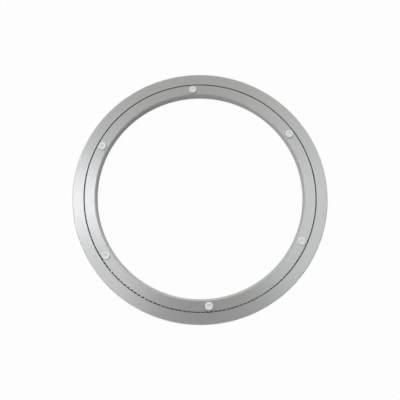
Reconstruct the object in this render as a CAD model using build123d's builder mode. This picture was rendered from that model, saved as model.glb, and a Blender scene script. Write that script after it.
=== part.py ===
from build123d import *
import math
import os

os.makedirs("parts", exist_ok=True)

# A flat swivel ring for a television lift: an inner ring turns inside an outer ring on
# a full row of steel balls. Millimetres, Z up. The origin is on the swivel axis, in the
# plane that the feet stand on.

# Driving dimensions of the ball race
ball_diameter = 5.0
ball_count = 173
ball_play = 0.026
ball_start_angle = 1.4
groove_radius = 2.7
ring_gap = 1.4

# Driving dimensions of the two rings
outer_diameter = 305.0
opening_diameter = 248.0
ring_thickness = 9.5
inner_ring_rise = 0.5
outer_edge_round = 1.2
opening_edge_round = 2.4
lower_edge_round = 0.8
gap_edge_break = 0.2

# Driving dimensions of the soft bumpers and feet
pad_count = 6
pad_diameter = 9.2
pad_height = 2.0
pad_edge_round = 0.8
dimple_diameter = 4.2
dimple_depth = 0.5
stem_diameter = 5.0
stem_length = 3.5
stem_squeeze = 0.05
socket_depth = 4.0
bumper_start_angle = 94.2
foot_start_angle = 90.0

# Driving dimensions of the plug that closes the ball-loading hole, and how far a cutter
# runs on past the metal
plug_diameter = 6.0
plug_squeeze = 0.01
plug_sunk = 0.3
plug_edge_break = 0.4
plug_tip_gap = 1.2
slot_width = 1.0
slot_depth = 1.3
cutter_overrun = 1.0

# Places worked out from the driving dimensions
ball_radius = ball_diameter / 2
pitch_radius = (ball_diameter + ball_play) / (2 * math.sin(math.pi / ball_count))
outer_radius = outer_diameter / 2
opening_radius = opening_diameter / 2
gap_outer_radius = pitch_radius + ring_gap / 2
gap_inner_radius = pitch_radius - ring_gap / 2
outer_base = pad_height
outer_top = outer_base + ring_thickness
inner_base = outer_base + inner_ring_rise
inner_top = inner_base + ring_thickness
race_height = (outer_base + inner_top) / 2
bumper_radius = (opening_radius + opening_edge_round + gap_inner_radius - gap_edge_break) / 2
foot_radius = (gap_outer_radius + outer_radius) / 2
pad_step = 360 / pad_count


# Outer ring: an outer edge rounded over, small breaks at the gap, a race in its inner
# wall, blind sockets for the feet and the radial hole for loading the balls.
with BuildPart() as outer_ring:
    with BuildSketch(Plane.XZ) as outer_section:
        with BuildLine():
            Polyline(
                (gap_outer_radius, outer_base),
                (outer_radius, outer_base),
                (outer_radius, outer_top),
                (gap_outer_radius, outer_top),
                close=True,
            )
        make_face()
        outer_corners = outer_section.vertices().group_by(Axis.X)[-1].sort_by(Axis.Y)
        gap_corners = outer_section.vertices().group_by(Axis.X)[0]
        fillet(outer_corners[-1], outer_edge_round)
        fillet(outer_corners[0], lower_edge_round)
        chamfer(gap_corners, gap_edge_break)
        with Locations((pitch_radius, race_height)):
            Circle(groove_radius, mode=Mode.SUBTRACT)
    revolve(axis=Axis.Z)
    with BuildSketch(Plane.XY.offset(outer_base)):
        with PolarLocations(foot_radius, pad_count, start_angle=foot_start_angle):
            Circle(stem_diameter / 2 - stem_squeeze)
    extrude(amount=socket_depth, mode=Mode.SUBTRACT)
    with BuildSketch(Plane.YZ.offset(pitch_radius)):
        with Locations((0, race_height)):
            Circle(plug_diameter / 2 - plug_squeeze)
    extrude(amount=outer_radius - pitch_radius + cutter_overrun, mode=Mode.SUBTRACT)
outer_ring.part.label = "outer_ring"
export_step(outer_ring.part, "parts/outer_ring.step")


# Inner ring: stands proud of the outer ring, with a large round at the central opening,
# the facing race in its outer wall and blind sockets for the bumpers in its top face.
with BuildPart() as inner_ring:
    with BuildSketch(Plane.XZ) as inner_section:
        with BuildLine():
            Polyline(
                (opening_radius, inner_base),
                (gap_inner_radius, inner_base),
                (gap_inner_radius, inner_top),
                (opening_radius, inner_top),
                close=True,
            )
        make_face()
        opening_corners = inner_section.vertices().group_by(Axis.X)[0].sort_by(Axis.Y)
        gap_corners = inner_section.vertices().group_by(Axis.X)[-1]
        fillet(opening_corners[-1], opening_edge_round)
        fillet(opening_corners[0], lower_edge_round)
        chamfer(gap_corners, gap_edge_break)
        with Locations((pitch_radius, race_height)):
            Circle(groove_radius, mode=Mode.SUBTRACT)
    revolve(axis=Axis.Z)
    with BuildSketch(Plane.XY.offset(inner_top)):
        with PolarLocations(bumper_radius, pad_count, start_angle=bumper_start_angle):
            Circle(stem_diameter / 2 - stem_squeeze)
    extrude(amount=-socket_depth, mode=Mode.SUBTRACT)
inner_ring.part.label = "inner_ring"
export_step(inner_ring.part, "parts/inner_ring.step")


# Bearing balls: a full row, each just clear of the next, held only by the two races.
with BuildPart() as bearing_balls:
    with Locations((0, 0, race_height)):
        with PolarLocations(pitch_radius, ball_count, start_angle=ball_start_angle):
            Sphere(ball_radius)
bearing_balls.part.label = "bearing_balls"
export_step(bearing_balls.part, "parts/bearing_balls.step")


# Loading plug: a slotted headless plug on the X axis, its inner end hollowed to carry
# the race on across the loading hole.
plug_inner = pitch_radius + plug_tip_gap
plug_outer = outer_radius - plug_sunk
with BuildPart() as loading_plug:
    with BuildSketch(Plane.YZ.offset(plug_inner)):
        with Locations((0, race_height)):
            Circle(plug_diameter / 2)
    extrude(amount=plug_outer - plug_inner)
    plug_rim = loading_plug.faces().sort_by(Axis.X)[-1].edges()
    chamfer(plug_rim, plug_edge_break)
    with BuildSketch(Plane.YZ.offset(plug_outer)):
        with Locations((0, race_height)):
            Rectangle(slot_width, plug_diameter + cutter_overrun)
    extrude(amount=-slot_depth, mode=Mode.SUBTRACT)
    with BuildSketch(Plane.XZ):
        with Locations((pitch_radius, race_height)):
            Circle(groove_radius)
    revolve(axis=Axis.Z, mode=Mode.SUBTRACT)
loading_plug.part.label = "loading_plug"
export_step(loading_plug.part, "parts/loading_plug.step")


def soft_pad(centre_radius, angle, seat_height, side):
    """Build one soft pad: a round head with a dimple in its face, and a stem that is
    pressed into its ring. The head is on the side given, +1 for up or -1 for down."""
    around = math.radians(angle)
    centre = (centre_radius * math.cos(around), centre_radius * math.sin(around), 0)
    face = seat_height + side * pad_height
    stem_end = seat_height - side * stem_length
    stem_radius = stem_diameter / 2
    head_radius = pad_diameter / 2
    face_radius = head_radius - pad_edge_round
    dimple_radius = dimple_diameter / 2
    dimple_curve = (dimple_radius**2 + dimple_depth**2) / (2 * dimple_depth)
    with BuildPart() as pad:
        with BuildSketch(Plane(origin=centre, x_dir=(1, 0, 0), z_dir=(0, -1, 0))):
            with BuildLine():
                Polyline(
                    (0, face - side * dimple_depth),
                    (0, stem_end),
                    (stem_radius, stem_end),
                    (stem_radius, seat_height),
                    (head_radius, seat_height),
                    (head_radius, face - side * pad_edge_round),
                )
                RadiusArc(
                    (head_radius, face - side * pad_edge_round),
                    (face_radius, face),
                    -side * pad_edge_round,
                )
                Line((face_radius, face), (dimple_radius, face))
                RadiusArc(
                    (dimple_radius, face),
                    (0, face - side * dimple_depth),
                    side * dimple_curve,
                )
            make_face()
        revolve(axis=Axis(centre, (0, 0, 1)))
    return pad.part


# Bumpers: soft round pads pressed into the inner ring's top face, where the load rests.
for number in range(pad_count):
    bumper_angle = bumper_start_angle + number * pad_step
    bumper = soft_pad(bumper_radius, bumper_angle, inner_top, 1)
    bumper.label = f"bumper_{number + 1}"
    export_step(bumper, f"parts/bumper_{number + 1}.step")


# Feet: the same pads pressed into the outer ring's underside, to stand on.
for number in range(pad_count):
    foot_angle = foot_start_angle + number * pad_step
    foot = soft_pad(foot_radius, foot_angle, outer_base, -1)
    foot.label = f"foot_{number + 1}"
    export_step(foot, f"parts/foot_{number + 1}.step")
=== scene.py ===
import math

import bmesh
import bpy
from mathutils import Matrix, Vector


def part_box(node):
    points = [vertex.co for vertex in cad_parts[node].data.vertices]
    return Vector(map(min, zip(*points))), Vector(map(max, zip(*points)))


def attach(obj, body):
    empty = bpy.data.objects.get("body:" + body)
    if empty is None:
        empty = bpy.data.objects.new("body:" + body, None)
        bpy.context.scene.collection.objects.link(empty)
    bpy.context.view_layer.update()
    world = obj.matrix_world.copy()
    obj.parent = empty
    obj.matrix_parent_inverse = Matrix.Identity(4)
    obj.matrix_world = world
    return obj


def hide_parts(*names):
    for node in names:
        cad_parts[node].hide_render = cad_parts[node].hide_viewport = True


# A flat aluminium swivel ring, 305 mm across, seen from nearly straight above. The inner
# ring turns in the outer one on a row of steel balls, which show down in the gap.

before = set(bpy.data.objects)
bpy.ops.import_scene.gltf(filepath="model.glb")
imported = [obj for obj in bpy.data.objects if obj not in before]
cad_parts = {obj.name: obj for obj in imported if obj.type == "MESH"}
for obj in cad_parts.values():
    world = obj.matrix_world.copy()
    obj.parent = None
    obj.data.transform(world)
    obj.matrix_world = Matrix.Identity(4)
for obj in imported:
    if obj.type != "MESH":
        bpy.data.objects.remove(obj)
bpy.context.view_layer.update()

MM = 0.001
X, Y, Z = 0, 1, 2

# Sizes of the rings and their race, in metres. The rim is a hair under its real 152.5 mm,
# to stay inside the box of the faceted solid.
OUTER_RADIUS = 152.45 * MM
OPENING_RADIUS = 124.0 * MM
GAP = 1.4 * MM
BALL_DIAMETER = 5.0 * MM
BALL_PLAY = 0.026 * MM
BALL_COUNT = 173
BALL_START_ANGLE = 1.4
GROOVE_RADIUS = 2.7 * MM
RIM_ROUND = 1.2 * MM
OPENING_ROUND = 2.4 * MM
LOWER_ROUND = 0.8 * MM
GAP_EDGE_ROUND = 0.2 * MM

# Sizes of the soft pads and of the plug in the loading hole
PAD_COUNT = 6
PAD_DIAMETER = 9.2 * MM
PAD_HEIGHT = 2.0 * MM
PAD_EDGE_ROUND = 0.8 * MM
PAD_FOOT_ROUND = 0.15 * MM
DIMPLE_DIAMETER = 4.2 * MM
DIMPLE_DEPTH = 0.5 * MM
STEM_DIAMETER = 5.0 * MM
STEM_LENGTH = 3.5 * MM
SOCKET_DEPTH = 4.0 * MM
BUMPER_START_ANGLE = 94.2
FOOT_START_ANGLE = 90.0
PLUG_DIAMETER = 6.0 * MM

# Places worked out from those sizes and from the frame
PITCH_RADIUS = (BALL_DIAMETER + BALL_PLAY) / (2 * math.sin(math.pi / BALL_COUNT))
GAP_OUTER_RADIUS = PITCH_RADIUS + GAP / 2
GAP_INNER_RADIUS = PITCH_RADIUS - GAP / 2
OUTER_BASE, OUTER_TOP = (corner[Z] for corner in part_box("outer_ring"))
INNER_BASE, INNER_TOP = (corner[Z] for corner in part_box("inner_ring"))
RACE_HEIGHT = (OUTER_BASE + INNER_TOP) / 2
BUMPER_CIRCLE = (OPENING_RADIUS + OPENING_ROUND + GAP_INNER_RADIUS - GAP_EDGE_ROUND) / 2
FOOT_CIRCLE = (GAP_OUTER_RADIUS + OUTER_RADIUS) / 2
RING_MIDDLE = (OPENING_RADIUS + OUTER_RADIUS) / 2
RING_HALF_WIDTH = (OUTER_RADIUS - OPENING_RADIUS) / 2

# How finely the round shapes are drawn, and from which angle an edge looks sharp
RING_SEGMENTS = 576
PAD_SEGMENTS = 48
BALL_SUBDIVISIONS = 2
ARC_STEP = math.radians(10)
SHARP_ANGLE = math.radians(30)

# How far from a round its flats are held flat, and the room round stems and the plug
EDGE_HOLD = 0.06 * MM
SNUG = 0.03 * MM

# How upright a face's normal is, from 0 to 1: over the first a face is level, and under
# the second it is a wall. Between them it belongs to a round.
LEVEL_OVER = 0.98
WALL_UNDER = 0.2

# How many line widths a lathe line drifts sideways in one radian of its way round
LINE_DRIFT = 2.0


def linear(hex_colour):
    """Turn an sRGB hex colour into the linear colour that shaders take."""
    channels = [int(hex_colour[i:i + 2], 16) / 255 for i in (1, 3, 5)]
    curve = [c / 12.92 if c <= 0.04045 else ((c + 0.055) / 1.055) ** 2.4 for c in channels]
    return (*curve, 1)


def add(tree, kind, inputs=None, **settings):
    """Add a node to a tree, with its settings, and its inputs linked or set."""
    node = tree.nodes.new(kind)
    for name, value in settings.items():
        setattr(node, name, value)
    for socket, value in (inputs or {}).items():
        if isinstance(value, bpy.types.NodeSocket):
            tree.links.new(value, node.inputs[socket])
        else:
            node.inputs[socket].default_value = value
    return node


def off_axis(tree, parts):
    """Add the distance from the Z axis of a place that is split into its parts."""
    flat = add(tree, "ShaderNodeCombineXYZ", {X: parts.outputs[X], Y: parts.outputs[Y]})
    length = add(tree, "ShaderNodeVectorMath", {0: flat.outputs[0]}, operation="LENGTH")
    return length.outputs["Value"]


def placed(name, data):
    """Put a new object with this data in the scene."""
    made = bpy.data.objects.new(name, data)
    bpy.context.scene.collection.objects.link(made)
    return made


def new_material(name, surface):
    """Start a material whose shader has these plain values; return it, its tree and shader."""
    material = bpy.data.materials.new(name)
    material.use_nodes = True
    tree = material.node_tree
    shader = tree.nodes["Principled BSDF"]
    for socket, value in surface.items():
        shader.inputs[socket].default_value = value
    return material, tree, shader


def roughen(tree, shader, marks, low, high):
    """Let a pattern vary a shader's roughness between two values."""
    swing = add(tree, "ShaderNodeMapRange", {"Value": marks, "To Min": low, "To Max": high})
    tree.links.new(swing.outputs[0], shader.inputs["Roughness"])


def round_the_axis(tree):
    """Give a tree the distance from the swivel axis, the turn about it and the direction
    that the lathe tool ran in, all from the piece's own coordinates."""
    place = add(tree, "ShaderNodeTexCoord").outputs["Object"]
    parts = add(tree, "ShaderNodeSeparateXYZ", {0: place})
    across, along, height = (parts.outputs[i] for i in (X, Y, Z))
    turn = add(tree, "ShaderNodeMath", {0: along, 1: across}, operation="ARCTAN2")
    back = add(tree, "ShaderNodeMath", {0: along, 1: -1.0}, operation="MULTIPLY")
    round_way = add(tree, "ShaderNodeCombineXYZ", {X: back.outputs[0], Y: across})
    tool_way = add(
        tree, "ShaderNodeVectorTransform", {0: round_way.outputs[0]},
        vector_type="VECTOR", convert_from="OBJECT", convert_to="WORLD",
    )
    return off_axis(tree, parts), turn.outputs[0], height, tool_way.outputs[0]


def turned_metal(name, surface, line_width, line_depth, roughness, roughness_swing):
    """Metal turned on a lathe: fine lines round the axis that catch light in a fan. Each
    line drifts into its neighbours as it goes round."""
    material, tree, shader = new_material(name, surface)
    radius, turn, height, tool_way = round_the_axis(tree)
    reach = add(tree, "ShaderNodeMath", {0: radius, 1: height}, operation="SUBTRACT")
    lines = add(tree, "ShaderNodeMath", {0: reach.outputs[0], 1: 1 / line_width},
                operation="MULTIPLY")
    drift = add(tree, "ShaderNodeMath", {0: turn, 1: LINE_DRIFT}, operation="MULTIPLY")
    spiral = add(tree, "ShaderNodeCombineXYZ", {X: lines.outputs[0], Y: drift.outputs[0]})
    marks = add(tree, "ShaderNodeTexNoise", {"Vector": spiral.outputs[0], "Scale": 1.0,
                "Detail": 3.0, "Roughness": 0.6})
    roughen(tree, shader, marks.outputs[0], roughness - roughness_swing,
            roughness + roughness_swing)
    bump = add(tree, "ShaderNodeBump", {
        "Height": marks.outputs[0], "Distance": line_depth, "Strength": 1.0,
    })
    tree.links.new(bump.outputs[0], shader.inputs["Normal"])
    tree.links.new(tool_way, shader.inputs["Tangent"])
    return material


# Turned aluminium, clear anodised: the broad faces were faced on a lathe, so they shine in
# two fans that lie across the tool's lines, over the even grey of the anodic film. The
# lines are really about 0.1 mm apart; they are drawn 0.4 mm apart so that they show.
FACE_ALUMINIUM = turned_metal(
    "turned_aluminium_face",
    {"Base Color": linear("#C4C4C4"), "Metallic": 0.7, "Anisotropic": 0.75,
     "Anisotropic Rotation": 0.25},
    line_width=0.4 * MM, line_depth=0.004 * MM, roughness=0.42, roughness_swing=0.05,
)

# Anodised aluminium of the walls, left as it was cut: duller and greyer than the faces,
# with a matt sheen and no fans.
WALL_ALUMINIUM = turned_metal(
    "anodised_aluminium_wall",
    {"Base Color": linear("#BDBEBE"), "Metallic": 0.0, "Anisotropic": 0.2,
     "Anisotropic Rotation": 0.25},
    line_width=0.5 * MM, line_depth=0.004 * MM, roughness=0.6, roughness_swing=0.05,
)

# The inner ring's rounds, turned in one pass and brushed: between its faces and its walls
# in shine. Their colour is a little darker than both, as painted shade, so that they draw
# a soft shaded line round the opening.
EDGE_ALUMINIUM_PAINTED_SHADE = turned_metal(
    "turned_aluminium_edge_painted_shade",
    {"Base Color": linear("#B4B5B5"), "Metallic": 0.5, "Anisotropic": 0.6,
     "Anisotropic Rotation": 0.25},
    line_width=0.4 * MM, line_depth=0.004 * MM, roughness=0.5, roughness_swing=0.05,
)

# The race and the walls beside it: cut smooth and burnished by the balls. Their colour is
# dark partly with grease and partly as painted shade of the narrow gap between the rings.
RACE_ALUMINIUM_GREASE_AND_SHADE = turned_metal(
    "race_aluminium_grease_and_painted_shade",
    {"Base Color": linear("#828385"), "Metallic": 0.3, "Anisotropic": 0.4,
     "Anisotropic Rotation": 0.25},
    line_width=0.3 * MM, line_depth=0.003 * MM, roughness=0.35, roughness_swing=0.08,
)


def filmed_steel(name, surface, patch, detail, smoothest, roughest):
    """Bright steel under a thin film that dulls it in soft patches of one size."""
    material, tree, shader = new_material(name, surface)
    place = add(tree, "ShaderNodeTexCoord").outputs["Object"]
    film = add(tree, "ShaderNodeTexNoise", {"Vector": place, "Scale": 1 / patch,
               "Detail": detail})
    roughen(tree, shader, film.outputs[0], smoothest, roughest)
    return material


# Ground and polished bearing steel under a film of grease, down in a dark gap
BALL_STEEL = filmed_steel(
    "polished_ball_steel",
    {"Base Color": linear("#B6B7BA"), "Metallic": 1.0, "Roughness": 0.12},
    patch=2.0 * MM, detail=2.0, smoothest=0.08, roughest=0.16,
)

# Zinc-plated steel of the plug: bright, a little blue, with a faintly cloudy film
PLUG_STEEL = filmed_steel(
    "zinc_plated_steel",
    {"Base Color": linear("#B9BDC4"), "Metallic": 1.0, "Roughness": 0.35},
    patch=1.5 * MM, detail=3.0, smoothest=0.28, roughest=0.45,
)


def clear_silicone():
    """Moulded silicone, milky and translucent: it glows pale grey-white on the metal. Its
    middle, over the dimple, is painted a little greyer as painted shade of the dimple and
    of the dark socket beneath it."""
    material, tree, shader = new_material("clear_silicone", {
        "Roughness": 0.38, "IOR": 1.41, "Subsurface Weight": 0.6,
        "Subsurface Radius": (1.0, 1.0, 1.0), "Subsurface Scale": 1.2 * MM,
        "Transmission Weight": 0.08,
    })
    middle = add(tree, "ShaderNodeAttribute", attribute_name="from_pad_axis")
    shade = add(tree, "ShaderNodeMapRange", {
        "Value": middle.outputs["Fac"], "From Min": 0.35 * DIMPLE_DIAMETER,
        "From Max": 0.55 * DIMPLE_DIAMETER,
    }, interpolation_type="SMOOTHSTEP")
    # Painted shade: the middle of the pad, over the dimple, is a little greyer than its rim
    colour = add(tree, "ShaderNodeMix", {
        "Factor": shade.outputs[0], "A": linear("#E4E6E6"), "B": linear("#EAECEC"),
    }, data_type="RGBA")
    place = add(tree, "ShaderNodeTexCoord").outputs["Object"]
    skin = add(tree, "ShaderNodeTexNoise", {"Vector": place, "Scale": 1 / (0.6 * MM),
               "Detail": 2.0})
    grain = add(tree, "ShaderNodeBump", {"Height": skin.outputs[0],
                "Distance": 0.01 * MM, "Strength": 1.0})
    tree.links.new(colour.outputs["Result"], shader.inputs["Base Color"])
    tree.links.new(grain.outputs[0], shader.inputs["Normal"])
    return material


SILICONE = clear_silicone()


def arc(centre, radius, start, end):
    """Points along an arc, from one angle to the other, ends included."""
    steps = max(2, math.ceil(abs(end - start) / ARC_STEP))
    angles = (start + (end - start) * i / steps for i in range(steps + 1))
    return [Vector((centre[0] + radius * math.cos(a), centre[1] + radius * math.sin(a)))
            for a in angles]


def soften(corner, before, after, radius):
    """Round one corner of a section, with a point held just clear of each end of the arc
    so that the flats beside it stay flat to the eye."""
    corner, before, after = Vector(corner), Vector(before), Vector(after)
    back = (before - corner).normalized()
    on = (after - corner).normalized()
    half = back.angle(on) / 2
    run = radius / math.tan(half)
    middle = corner + (back + on).normalized() * radius / math.sin(half)
    first = corner + back * run - middle
    last = corner + on * run - middle
    start = math.atan2(first.y, first.x)
    sweep = first.angle_signed(last)
    return [corner + back * (run + EDGE_HOLD), *arc(middle, radius, start, start - sweep),
            corner + on * (run + EDGE_HOLD)]


def softened_outline(corners):
    """Points of an outline whose corners, given as (x, z, round), are rounded off. A
    corner with no round stays sharp."""
    points = []
    for i, (x, z, radius) in enumerate(corners):
        before = corners[i - 1][:2]
        after = corners[(i + 1) % len(corners)][:2]
        if radius:
            points += soften((x, z), before, after, radius)
        else:
            points.append(Vector((x, z)))
    return points


def ring_section(wall, far_wall, base, top, far_top_round, far_base_round):
    """Section of one ring: its wall at the gap has the race in it, and its other wall is
    rounded over at the top and the bottom."""
    side = 1 if far_wall > wall else -1
    lip = math.acos(abs(wall - PITCH_RADIUS) / GROOVE_RADIUS)
    middle = 0 if side > 0 else math.pi
    race = arc((PITCH_RADIUS, RACE_HEIGHT), GROOVE_RADIUS, middle + side * lip,
               middle - side * lip)
    outline = softened_outline([
        (wall, base, GAP_EDGE_ROUND),
        (far_wall, base, far_base_round),
        (far_wall, top, far_top_round),
        (wall, top, GAP_EDGE_ROUND),
    ])
    return (outline + race)[::side]


def outline_object(name, points):
    """A scratch object that holds a closed outline as a line of edges in the XY plane."""
    mesh = bpy.data.meshes.new(name)
    edges = [(i, (i + 1) % len(points)) for i in range(len(points))]
    mesh.from_pydata([(p[0], p[1], 0) for p in points], edges, [])
    return placed(name, mesh)


def new_tree(name, sockets):
    """Start a geometry tree with named inputs, and return it with its input node."""
    tree = bpy.data.node_groups.new(name, "GeometryNodeTree")
    tree.interface.new_socket("Geometry", in_out="OUTPUT", socket_type="NodeSocketGeometry")
    for socket, kind in sockets.items():
        tree.interface.new_socket(socket, in_out="INPUT", socket_type=f"NodeSocket{kind}")
    return tree, add(tree, "NodeGroupInput")


def grown(name, tree, values):
    """Run a geometry tree with these input values, and return its result as a plain mesh
    object with no modifier."""
    maker = placed(name + "_maker", bpy.data.meshes.new(name + "_maker"))
    modifier = maker.modifiers.new(name, "NODES")
    modifier.node_group = tree
    for socket in tree.interface.items_tree:
        if socket.in_out == "INPUT":
            modifier[socket.identifier] = values[socket.name]
    depsgraph = bpy.context.evaluated_depsgraph_get()
    mesh = bpy.data.meshes.new_from_object(maker.evaluated_get(depsgraph))
    mesh.name = name
    bpy.data.objects.remove(maker)
    return placed(name, mesh)


def swept_ring_tree():
    """Sweep a section round the axis and cut the holes out of it. Its level faces, its
    rounds, its walls and its race each get their own finish."""
    tree, given = new_tree("swept_ring", {
        "Section": "Object", "Segments": "Int", "Cuts": "Object", "Face": "Material",
        "Wall": "Material", "Edge": "Material", "Race": "Material",
    })
    value = given.outputs
    section = add(tree, "GeometryNodeObjectInfo", {"Object": value["Section"]})
    line = add(tree, "GeometryNodeMeshToCurve", {"Mesh": section.outputs["Geometry"]})
    path = add(tree, "GeometryNodeCurvePrimitiveCircle", {
        "Resolution": value["Segments"], "Radius": PITCH_RADIUS,
    })
    body = add(tree, "GeometryNodeCurveToMesh", {
        "Curve": path.outputs["Curve"], "Profile Curve": line.outputs["Curve"],
    })
    cuts = add(tree, "GeometryNodeObjectInfo", {"Object": value["Cuts"]})
    bored = add(tree, "GeometryNodeMeshBoolean", {
        "Mesh 1": body.outputs["Mesh"], "Mesh 2": cuts.outputs["Geometry"],
    }, operation="DIFFERENCE", solver="EXACT")
    fold = add(tree, "GeometryNodeInputMeshEdgeAngle")
    gentle = add(tree, "FunctionNodeCompare", {
        "A": fold.outputs["Unsigned Angle"], "B": SHARP_ANGLE,
    }, operation="LESS_THAN", data_type="FLOAT")
    round_faces = add(tree, "GeometryNodeSetShadeSmooth", {
        "Geometry": bored.outputs["Mesh"], "Shade Smooth": True,
    }, domain="FACE")
    smooth = add(tree, "GeometryNodeSetShadeSmooth", {
        "Geometry": round_faces.outputs[0], "Shade Smooth": gentle.outputs["Result"],
    }, domain="EDGE")
    slope = add(tree, "GeometryNodeInputNormal")
    upright = add(tree, "ShaderNodeSeparateXYZ", {0: slope.outputs["Normal"]})
    tilt = add(tree, "ShaderNodeMath", {0: upright.outputs[Z]}, operation="ABSOLUTE")
    level = add(tree, "FunctionNodeCompare", {"A": tilt.outputs[0], "B": LEVEL_OVER},
                operation="GREATER_THAN", data_type="FLOAT")
    leaning = add(tree, "FunctionNodeCompare", {"A": tilt.outputs[0], "B": WALL_UNDER},
                  operation="GREATER_THAN", data_type="FLOAT")
    place = add(tree, "GeometryNodeInputPosition")
    parts = add(tree, "ShaderNodeSeparateXYZ", {0: place.outputs[0]})
    by_balls = add(tree, "FunctionNodeCompare", {
        "A": off_axis(tree, parts), "B": PITCH_RADIUS, "Epsilon": GROOVE_RADIUS,
    }, operation="EQUAL", data_type="FLOAT")
    inside = add(tree, "FunctionNodeCompare", {
        "A": parts.outputs[Z], "B": RACE_HEIGHT,
        "Epsilon": RACE_HEIGHT - INNER_BASE - GAP_EDGE_ROUND,
    }, operation="EQUAL", data_type="FLOAT")
    in_race = add(tree, "FunctionNodeBooleanMath", {
        0: by_balls.outputs["Result"], 1: inside.outputs["Result"],
    }, operation="AND")
    real = add(tree, "GeometryNodeRealizeInstances", {0: smooth.outputs[0]})
    walls = add(tree, "GeometryNodeSetMaterial", {
        "Geometry": real.outputs[0], "Material": value["Wall"],
    })
    edges = add(tree, "GeometryNodeSetMaterial", {
        "Geometry": walls.outputs[0], "Selection": leaning.outputs["Result"],
        "Material": value["Edge"],
    })
    faces = add(tree, "GeometryNodeSetMaterial", {
        "Geometry": edges.outputs[0], "Selection": level.outputs["Result"],
        "Material": value["Face"],
    })
    races = add(tree, "GeometryNodeSetMaterial", {
        "Geometry": faces.outputs[0], "Selection": in_race.outputs[0],
        "Material": value["Race"],
    })
    add(tree, "NodeGroupOutput", {0: races.outputs[0]})
    return tree


def round_row_tree():
    """Set copies of one piece round the axis, evenly, each turned to face outwards."""
    tree, given = new_tree("round_row", {
        "Piece": "Object", "Count": "Int", "Radius": "Float", "Height": "Float",
        "Start": "Float", "Material": "Material",
    })
    value = given.outputs
    number = add(tree, "GeometryNodeInputIndex")
    share = add(tree, "ShaderNodeMath", {0: number.outputs[0], 1: value["Count"]},
                operation="DIVIDE")
    turn = add(tree, "ShaderNodeMath", {0: share.outputs[0], 1: math.tau, 2: value["Start"]},
               operation="MULTIPLY_ADD")
    along_x = add(tree, "ShaderNodeMath", {0: turn.outputs[0]}, operation="COSINE")
    along_y = add(tree, "ShaderNodeMath", {0: turn.outputs[0]}, operation="SINE")
    out_x = add(tree, "ShaderNodeMath", {0: along_x.outputs[0], 1: value["Radius"]},
                operation="MULTIPLY")
    out_y = add(tree, "ShaderNodeMath", {0: along_y.outputs[0], 1: value["Radius"]},
                operation="MULTIPLY")
    place = add(tree, "ShaderNodeCombineXYZ", {
        X: out_x.outputs[0], Y: out_y.outputs[0], Z: value["Height"],
    })
    facing = add(tree, "ShaderNodeCombineXYZ", {Z: turn.outputs[0]})
    points = add(tree, "GeometryNodePoints", {
        "Count": value["Count"], "Position": place.outputs[0],
    })
    piece = add(tree, "GeometryNodeObjectInfo", {"Object": value["Piece"]})
    row = add(tree, "GeometryNodeInstanceOnPoints", {
        "Points": points.outputs[0], "Instance": piece.outputs["Geometry"],
        "Rotation": facing.outputs[0],
    })
    real = add(tree, "GeometryNodeRealizeInstances", {0: row.outputs[0]})
    made = add(tree, "GeometryNodeSetMaterial", {
        "Geometry": real.outputs[0], "Material": value["Material"],
    })
    add(tree, "NodeGroupOutput", {0: made.outputs[0]})
    return tree


ROUND_ROW = round_row_tree()
SWEPT_RING = swept_ring_tree()


def turned(name, outline, segments):
    """Turn an outline, given from the lower pole to the upper one as (radius, height),
    about the Z axis into a closed smooth mesh."""
    lower, upper = outline[0], outline[-1]
    rings = outline[1:-1]
    points = [(0, 0, lower[1])]
    for radius, height in rings:
        for i in range(segments):
            a = math.tau * i / segments
            points.append((radius * math.cos(a), radius * math.sin(a), height))
    points.append((0, 0, upper[1]))
    top = len(points) - 1
    last = top - segments
    faces = []
    for i in range(segments):
        j = (i + 1) % segments
        faces.append((0, 1 + j, 1 + i))
        faces.append((top, last + i, last + j))
        for k in range(len(rings) - 1):
            low = 1 + k * segments
            high = low + segments
            faces.append((low + i, low + j, high + j, high + i))
    mesh = bpy.data.meshes.new(name)
    mesh.from_pydata(points, [], faces)
    mesh.shade_smooth()
    mesh.set_sharp_from_angle(angle=SHARP_ANGLE)
    return placed(name, mesh)


def small_ball(name):
    """A smooth ball of few faces."""
    mesh = bpy.data.meshes.new(name)
    shape = bmesh.new()
    bmesh.ops.create_icosphere(shape, subdivisions=BALL_SUBDIVISIONS,
                               radius=BALL_DIAMETER / 2)
    shape.to_mesh(mesh)
    shape.free()
    mesh.shade_smooth()
    return placed(name, mesh)


def pad_outline(side):
    """Outline of a soft pad whose seat is at height 0 and whose head is on the side given,
    +1 up or -1 down, from its lower pole to its upper one."""
    half_angle = 2 * math.atan(2 * DIMPLE_DEPTH / DIMPLE_DIAMETER)
    curve = DIMPLE_DIAMETER / 2 / math.sin(half_angle)
    floor_of_dimple = PAD_HEIGHT - DIMPLE_DEPTH
    down = -math.pi / 2
    bowl = arc((0, floor_of_dimple + curve), curve, down + half_angle, down)
    solid = softened_outline([
        (0, -STEM_LENGTH, 0),
        (STEM_DIAMETER / 2, -STEM_LENGTH, 2 * PAD_FOOT_ROUND),
        (STEM_DIAMETER / 2, 0, 0),
        (PAD_DIAMETER / 2, 0, PAD_FOOT_ROUND),
        (PAD_DIAMETER / 2, PAD_HEIGHT, PAD_EDGE_ROUND),
        (DIMPLE_DIAMETER / 2, PAD_HEIGHT, 0),
    ])
    outline = [(p.x, p.y) for p in solid[:-1] + bowl]
    if side < 0:
        outline = [(x, -z) for x, z in reversed(outline)]
    return outline


def soft_pad(name, side):
    """One soft pad, with the distance from its own axis stored for its material."""
    pad = turned(name, pad_outline(side), PAD_SEGMENTS)
    reach = pad.data.attributes.new("from_pad_axis", "FLOAT", "POINT")
    for vertex, value in zip(pad.data.vertices, reach.data):
        value.value = math.hypot(vertex.co.x, vertex.co.y)
    return pad


def cylinder(name, radius, low, high):
    """A plain cylinder about the Z axis, for cutting."""
    return turned(name, [(0, low), (radius, low), (radius, high), (0, high)], PAD_SEGMENTS)


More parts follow.
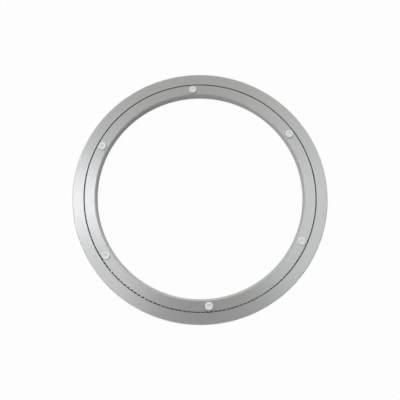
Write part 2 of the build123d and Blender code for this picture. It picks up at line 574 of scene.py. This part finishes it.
def socket_row(name, circle, low, high, start_angle):
    """A row of cylinders where one ring's sockets are cut."""
    bit = cylinder(name + "_bit", STEM_DIAMETER / 2 + SNUG, low, high)
    row = grown(name, ROUND_ROW, {
        "Piece": bit, "Count": PAD_COUNT, "Radius": circle, "Height": 0.0,
        "Start": math.radians(start_angle), "Material": None,
    })
    bpy.data.objects.remove(bit)
    return row


def joined(parts):
    """Join scratch objects into the first of them."""
    with bpy.context.temp_override(
        active_object=parts[0], selected_editable_objects=parts
    ):
        bpy.ops.object.join()
    return parts[0]


def ring(name, section, cuts, edge):
    """Sweep one ring from its section, cut it, and tidy away what it was made from."""
    outline = outline_object(name + "_section", [
        (p.x - PITCH_RADIUS, -p.y) for p in section])
    made = grown(name, SWEPT_RING, {
        "Section": outline, "Segments": RING_SEGMENTS, "Cuts": cuts,
        "Face": FACE_ALUMINIUM, "Wall": WALL_ALUMINIUM, "Edge": edge,
        "Race": RACE_ALUMINIUM_GREASE_AND_SHADE,
    })
    for scratch in (outline, cuts):
        bpy.data.objects.remove(scratch)
    return made


def hold(piece, body, slot, *nodes):
    """Say which body a piece rides on and what it stands for; the slot is not used."""
    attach(piece, body)
    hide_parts(*nodes)


# Outer ring, with the feet's sockets in its underside and the loading hole in its rim
foot_sockets = socket_row("foot_sockets", FOOT_CIRCLE, OUTER_BASE - MM,
                          OUTER_BASE + SOCKET_DEPTH, FOOT_START_ANGLE)
loading_hole = cylinder("loading_hole", PLUG_DIAMETER / 2 + SNUG, PITCH_RADIUS,
                        OUTER_RADIUS + MM)
lay_over = Matrix.Translation((0, 0, RACE_HEIGHT)) @ Matrix.Rotation(math.pi / 2, 4, "Y")
loading_hole.data.transform(lay_over)
outer_ring = ring(
    "outer_ring_turned",
    ring_section(GAP_OUTER_RADIUS, OUTER_RADIUS, OUTER_BASE, OUTER_TOP, RIM_ROUND,
                 LOWER_ROUND),
    joined([foot_sockets, loading_hole]),
    WALL_ALUMINIUM,
)
hold(outer_ring, "base", "turned_aluminium", "outer_ring")

# Inner ring, with the bumpers' sockets in its top face
bumper_sockets = socket_row("bumper_sockets", BUMPER_CIRCLE, INNER_TOP - SOCKET_DEPTH,
                            INNER_TOP + MM, BUMPER_START_ANGLE)
inner_ring = ring(
    "inner_ring_turned",
    ring_section(GAP_INNER_RADIUS, OPENING_RADIUS, INNER_BASE, INNER_TOP, OPENING_ROUND,
                 LOWER_ROUND),
    bumper_sockets,
    # The inner ring's rounds take the finish darkened with painted shade
    EDGE_ALUMINIUM_PAINTED_SHADE,
)
hold(inner_ring, "turntable", "turned_aluminium", "inner_ring")

# Full row of balls, each of eighty faces, since there are so many
one_ball = small_ball("one_ball")
ball_row = grown("ball_row", ROUND_ROW, {
    "Piece": one_ball, "Count": BALL_COUNT, "Radius": PITCH_RADIUS, "Height": RACE_HEIGHT,
    "Start": math.radians(BALL_START_ANGLE), "Material": BALL_STEEL,
})
bpy.data.objects.remove(one_ball)
hold(ball_row, "ball_set", "polished_ball_steel", "bearing_balls")

# Soft bumpers on the inner ring and soft feet under the outer one
for name, side, circle, seat, start, body, node in (
    ("bumper_pads", 1, BUMPER_CIRCLE, INNER_TOP, BUMPER_START_ANGLE, "turntable", "bumper"),
    ("foot_pads", -1, FOOT_CIRCLE, OUTER_BASE, FOOT_START_ANGLE, "base", "foot"),
):
    one_pad = soft_pad(name + "_one", side)
    pads = grown(name, ROUND_ROW, {
        "Piece": one_pad, "Count": PAD_COUNT, "Radius": circle, "Height": seat,
        "Start": math.radians(start), "Material": SILICONE,
    })
    bpy.data.objects.remove(one_pad)
    hold(pads, body, "clear_silicone", *(f"{node}_{i + 1}" for i in range(PAD_COUNT)))

# The loading plug keeps its CAD shape and gets its finish
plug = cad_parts["loading_plug"]
plug.data.materials.clear()
plug.data.materials.append(PLUG_STEEL)

# Camera: nearly straight above, a little towards the near edge, as in the photograph
PICTURE_WIDTH = 400
FOCAL_PIXELS = 452.8
SENSOR_WIDTH = 36.0
CAMERA_PLACE = Vector((-8.15 * MM, -111.2 * MM, OUTER_TOP + 529.3 * MM))
CAMERA_AIM = Vector((-0.61 * MM, -8.33 * MM, OUTER_TOP))

camera = placed("camera", bpy.data.cameras.new("camera"))
camera.data.sensor_width = SENSOR_WIDTH
camera.data.lens = FOCAL_PIXELS / PICTURE_WIDTH * SENSOR_WIDTH
ahead = (CAMERA_AIM - CAMERA_PLACE).normalized()
right = ahead.cross(Vector((0, 1, 0))).normalized()
up = right.cross(ahead)
camera.matrix_world = Matrix.Translation(CAMERA_PLACE) @ Matrix(
    (right, up, -ahead)).transposed().to_4x4()
bpy.context.scene.camera = camera


# How far the lamps are from the middle of the ring, in metres
LAMP_DISTANCE = 4.0


def softbox(name, azimuth, elevation, size, radiance, colour):
    """A soft lamp box that looks at the middle of the ring from an azimuth and an
    elevation in degrees, as bright to look at as the radiance says."""
    lamp = bpy.data.lights.new(name, "AREA")
    lamp.shape = "RECTANGLE"
    lamp.size, lamp.size_y = size
    lamp.energy = radiance * math.pi * size[0] * size[1]
    lamp.color = linear(colour)[:3]
    held = placed(name, lamp)
    round_by, up_by = math.radians(azimuth), math.radians(elevation)
    back = Vector((math.cos(up_by) * math.cos(round_by),
                   math.cos(up_by) * math.sin(round_by), math.sin(up_by)))
    held.location = back * LAMP_DISTANCE
    held.rotation_euler = back.to_track_quat("Z", "Y").to_euler()


# Lamps, in metres and degrees. The key lamp is behind to the left and makes the bright fan
# of the left side, the right lamp makes the pale one of the right side, and the near lamp
# fills in between them.
softbox("key_lamp", 160, 63, (1.0, 1.83), 7.75, "#F8FAFF")
softbox("right_lamp", 8, 70, (2.0, 0.8), 4.25, "#F6FFFA")
softbox("near_lamp", 220, 50, (1.25, 1.5), 4.8, "#FFFFFF")

# Which way the room's low glow lies, as seen from the ring
NEAR_LEFT = (-0.82, -0.57, 0)


def mirror_or_glass(tree, rays):
    """Say, as 1 or 0, whether a ray comes off a mirror or through glass."""
    either = add(tree, "ShaderNodeMath", {0: rays["Is Glossy Ray"],
                 1: rays["Is Transmission Ray"]}, operation="MAXIMUM")
    return either.outputs[0]


def pale_room():
    """Studio air: a bright wall behind, a glow low down at the near left, and dark overhead
    and in front, where the camera and its stand are. Mirror and glass rays find a pale
    horizon all round, and the camera sees a plain warm white. Each ramp runs over one
    part of the way that a ray looks, from -1 to 1."""
    world = bpy.data.worlds.new("pale_room")
    world.use_nodes = True
    bpy.context.scene.world = world
    tree = world.node_tree
    backdrop = tree.nodes["Background"]
    look = add(tree, "ShaderNodeTexCoord").outputs["Generated"]
    way = add(tree, "ShaderNodeSeparateXYZ", {0: look})
    behind = add(tree, "ShaderNodeMapRange", {
        "Value": way.outputs[Y], "From Min": 0.10, "From Max": 0.75, "To Min": 0.16,
        "To Max": 1.65,
    }, interpolation_type="SMOOTHSTEP")
    under_ceiling = add(tree, "ShaderNodeMapRange", {
        "Value": way.outputs[Z], "From Min": 0.63, "From Max": 0.92, "To Min": 1.0,
        "To Max": 0.0,
    }, interpolation_type="SMOOTHSTEP")
    horizon = add(tree, "ShaderNodeMapRange", {
        "Value": way.outputs[Z], "From Min": 0.08, "From Max": 0.26, "To Min": 1.0,
        "To Max": 0.0,
    }, interpolation_type="SMOOTHSTEP")
    near_left = add(tree, "ShaderNodeVectorMath", {0: look, 1: NEAR_LEFT},
                    operation="DOT_PRODUCT")
    glow = add(tree, "ShaderNodeMapRange", {
        "Value": near_left.outputs["Value"], "From Min": 0.5, "From Max": 0.9,
        "To Min": 0.1, "To Max": 2.2,
    }, interpolation_type="SMOOTHSTEP")
    rays = add(tree, "ShaderNodeLightPath").outputs
    low_down = add(tree, "ShaderNodeMath", {0: glow.outputs[0],
                   1: mirror_or_glass(tree, rays)}, operation="MAXIMUM")
    skirt = add(tree, "ShaderNodeMath", {0: horizon.outputs[0], 1: low_down.outputs[0]},
                operation="MULTIPLY")
    wall = add(tree, "ShaderNodeMath", {0: behind.outputs[0], 1: under_ceiling.outputs[0]},
               operation="MULTIPLY")
    shine = add(tree, "ShaderNodeMath", {0: wall.outputs[0], 1: skirt.outputs[0]},
                operation="MAXIMUM")
    level = add(tree, "ShaderNodeMix", {"Factor": rays["Is Camera Ray"],
                "A": shine.outputs[0], "B": 1.0}, data_type="FLOAT")
    tint = add(tree, "ShaderNodeVectorMath", {
        0: linear("#FFFCF7")[:3], "Scale": level.outputs[0],
    }, operation="SCALE")
    tree.links.new(tint.outputs[0], backdrop.inputs["Color"])


# How far the floor reaches, in metres, how much of it camera rays and mirror or glass rays
# see as plain white, and how far across the ring's half width its dark middle goes
FLOOR_REACH = 12.0
WHITE_TO_CAMERA = 0.97
WHITE_TO_MIRROR = 0.5
DARK_SHARE = 0.75


def pale_floor():
    """A plain white floor that still takes the ring's shadow. Camera, mirror and glass
    rays see most of it as white paper, but not where it is dark under the ring. From
    underneath it isn't there, so that the feet can be looked at."""
    mesh = bpy.data.meshes.new("floor")
    mesh.from_pydata([(x * FLOOR_REACH, y * FLOOR_REACH, 0)
                      for x, y in ((-1, -1), (1, -1), (1, 1), (-1, 1))], [], [(0, 1, 2, 3)])
    floor = placed("floor", mesh)
    material = bpy.data.materials.new("white_paper")
    material.use_nodes = True
    tree = material.node_tree
    paper = tree.nodes["Principled BSDF"]
    paper.inputs["Base Color"].default_value = linear("#BEBEBE")
    paper.inputs["Roughness"].default_value = 0.9
    rays = add(tree, "ShaderNodeLightPath").outputs
    seen = add(tree, "ShaderNodeMath", {0: rays["Is Camera Ray"], 1: WHITE_TO_CAMERA},
               operation="MULTIPLY")
    mirrored = add(tree, "ShaderNodeMath", {0: mirror_or_glass(tree, rays),
                   1: WHITE_TO_MIRROR}, operation="MULTIPLY")
    place = add(tree, "ShaderNodeTexCoord").outputs["Object"]
    reach = add(tree, "ShaderNodeVectorMath", {0: place}, operation="LENGTH")
    aside = add(tree, "ShaderNodeMath", {0: reach.outputs["Value"], 1: RING_MIDDLE},
                operation="SUBTRACT")
    away = add(tree, "ShaderNodeMath", {0: aside.outputs[0]}, operation="ABSOLUTE")
    clear = add(tree, "ShaderNodeMapRange", {
        "Value": away.outputs[0], "From Min": DARK_SHARE * RING_HALF_WIDTH,
        "From Max": RING_HALF_WIDTH,
    }, interpolation_type="SMOOTHSTEP")
    either = add(tree, "ShaderNodeMath", {0: seen.outputs[0], 1: mirrored.outputs[0]},
                 operation="MAXIMUM")
    share = add(tree, "ShaderNodeMath", {0: either.outputs[0], 1: clear.outputs[0]},
                operation="MULTIPLY")
    white = add(tree, "ShaderNodeEmission", {"Color": (1, 1, 1, 1), "Strength": 1.0})
    both = add(tree, "ShaderNodeMixShader", {0: share.outputs[0], 1: paper.outputs[0],
               2: white.outputs[0]})
    underneath = add(tree, "ShaderNodeNewGeometry").outputs["Backfacing"]
    nothing = add(tree, "ShaderNodeBsdfTransparent")
    top_only = add(tree, "ShaderNodeMixShader", {0: underneath, 1: both.outputs[0],
                   2: nothing.outputs[0]})
    tree.links.new(top_only.outputs[0], tree.nodes["Material Output"].inputs["Surface"])
    floor.data.materials.append(material)


pale_room()
pale_floor()
bpy.context.scene.view_settings.view_transform = "Standard"
